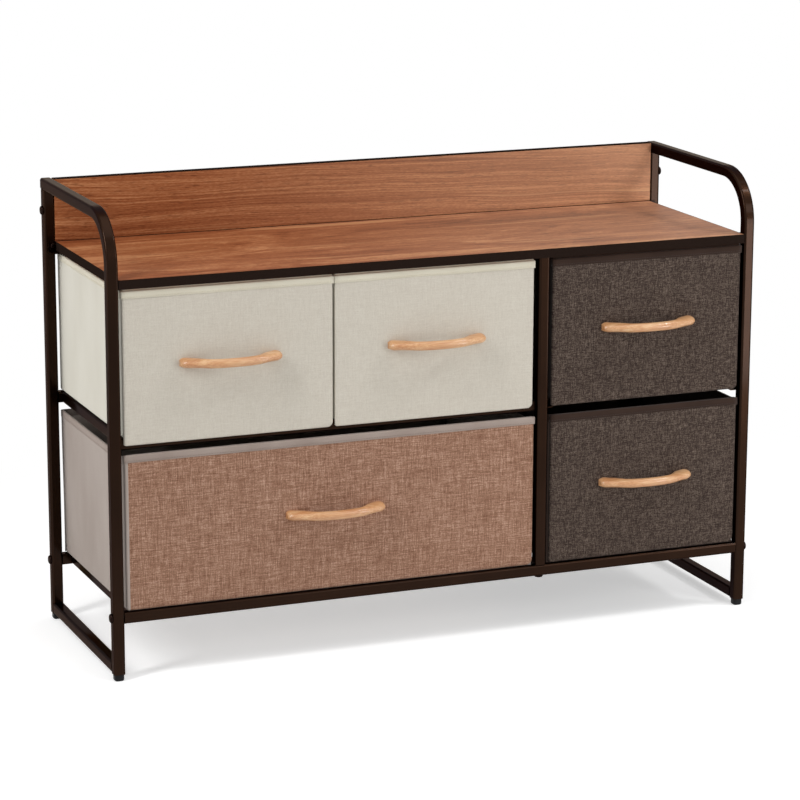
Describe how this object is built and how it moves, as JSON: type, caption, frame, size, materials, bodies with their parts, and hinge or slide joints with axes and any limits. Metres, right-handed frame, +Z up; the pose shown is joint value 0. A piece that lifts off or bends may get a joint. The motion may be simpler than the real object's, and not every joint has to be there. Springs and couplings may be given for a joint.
{
  "type": "fabric drawer dresser",
  "caption": "Low wide dresser: dark square-tube frame with curved arms, wood-look top and back boards, and soft fabric drawers in cream, tan and espresso with wooden bow handles.",
  "frame": {"origin": "on the floor under the centre of the bounding box, with the drawers closed", "axes": "+X to the right seen from the front, +Y to the back, +Z up; drawers slide out along -Y"},
  "size_m": [0.916, 0.326, 0.608],
  "materials": {
    "frame_metal": "satin dark bronze powder coat",
    "foot_plastic": "matte black",
    "bolt_black": "dark satin",
    "nut_steel": "zinc plated",
    "bracket_steel": "dark satin",
    "screw_steel": "zinc plated",
    "walnut_laminate": "satin walnut-look laminate on particle board",
    "edge_band": "matte dark edge strip",
    "handle_wood": "satin varnish",
    "cream_linen": "linen weave",
    "tan_linen": "linen weave",
    "espresso_linen": "linen weave with pale flecks",
    "cream_cloth": "non-woven",
    "taupe_cloth": "non-woven",
    "espresso_cloth": "non-woven",
    "cream_binding": "folded and stitched",
    "taupe_binding": "folded and stitched",
    "espresso_binding": "folded and stitched",
    "insert_board": "cloth-covered fibre board"
  },
  "bodies": {
    "frame": {"left_bent_leg": "frame_metal", "right_bent_leg": "frame_metal", "left_rear_post": "frame_metal", "right_rear_post": "frame_metal", "left_floor_rail": "frame_metal", "right_floor_rail": "frame_metal", "leg_feet": "foot_plastic", "front_lower_rail": "frame_metal", "rear_lower_rail": "frame_metal", "left_lower_runner": "frame_metal", "centre_lower_runner": "frame_metal", "right_lower_runner": "frame_metal", "centre_front_post": "frame_metal", "centre_rear_post": "frame_metal", "front_mid_rail": "frame_metal", "rear_mid_rail": "frame_metal", "left_mid_runner": "frame_metal", "middle_mid_runner": "frame_metal", "right_mid_runner": "frame_metal", "left_bay_runner": "frame_metal", "right_bay_runner": "frame_metal", "frame_bolts": "bolt_black", "nut_blocks": "nut_steel", "board_brackets": "bracket_steel", "bracket_screws": "bolt_black", "top_board": "walnut_laminate", "top_board_edge_band": "edge_band", "back_board": "walnut_laminate", "back_board_edge_band": "edge_band"},
    "cream_left_drawer": {"cream_left_bin": "cream_cloth", "cream_left_front_face": "cream_linen", "cream_left_rim_binding": "cream_binding", "cream_left_base_board": "insert_board", "cream_left_handle": "handle_wood", "cream_left_handle_screws": "screw_steel"},
    "cream_right_drawer": {"cream_right_bin": "cream_cloth", "cream_right_front_face": "cream_linen", "cream_right_rim_binding": "cream_binding", "cream_right_base_board": "insert_board", "cream_right_handle": "handle_wood", "cream_right_handle_screws": "screw_steel"},
    "tan_wide_drawer": {"tan_wide_bin": "taupe_cloth", "tan_wide_front_face": "tan_linen", "tan_wide_rim_binding": "taupe_binding", "tan_wide_base_board": "insert_board", "tan_wide_handle": "handle_wood", "tan_wide_handle_screws": "screw_steel"},
    "espresso_upper_drawer": {"espresso_upper_bin": "espresso_cloth", "espresso_upper_front_face": "espresso_linen", "espresso_upper_rim_binding": "espresso_binding", "espresso_upper_base_board": "insert_board", "espresso_upper_handle": "handle_wood", "espresso_upper_handle_screws": "screw_steel"},
    "espresso_lower_drawer": {"espresso_lower_bin": "espresso_cloth", "espresso_lower_front_face": "espresso_linen", "espresso_lower_rim_binding": "espresso_binding", "espresso_lower_base_board": "insert_board", "espresso_lower_handle": "handle_wood", "espresso_lower_handle_screws": "screw_steel"}
  },
  "joints": [
    {"name": "cream_left_slide", "type": "slide", "parent": "frame", "child": "cream_left_drawer", "axis": [0, -1, 0], "range_m": [0, 0.22]},
    {"name": "cream_right_slide", "type": "slide", "parent": "frame", "child": "cream_right_drawer", "axis": [0, -1, 0], "range_m": [0, 0.22]},
    {"name": "tan_wide_slide", "type": "slide", "parent": "frame", "child": "tan_wide_drawer", "axis": [0, -1, 0], "range_m": [0, 0.22]},
    {"name": "espresso_upper_slide", "type": "slide", "parent": "frame", "child": "espresso_upper_drawer", "axis": [0, -1, 0], "range_m": [0, 0.22]},
    {"name": "espresso_lower_slide", "type": "slide", "parent": "frame", "child": "espresso_lower_drawer", "axis": [0, -1, 0], "range_m": [0, 0.22]}
  ]
}
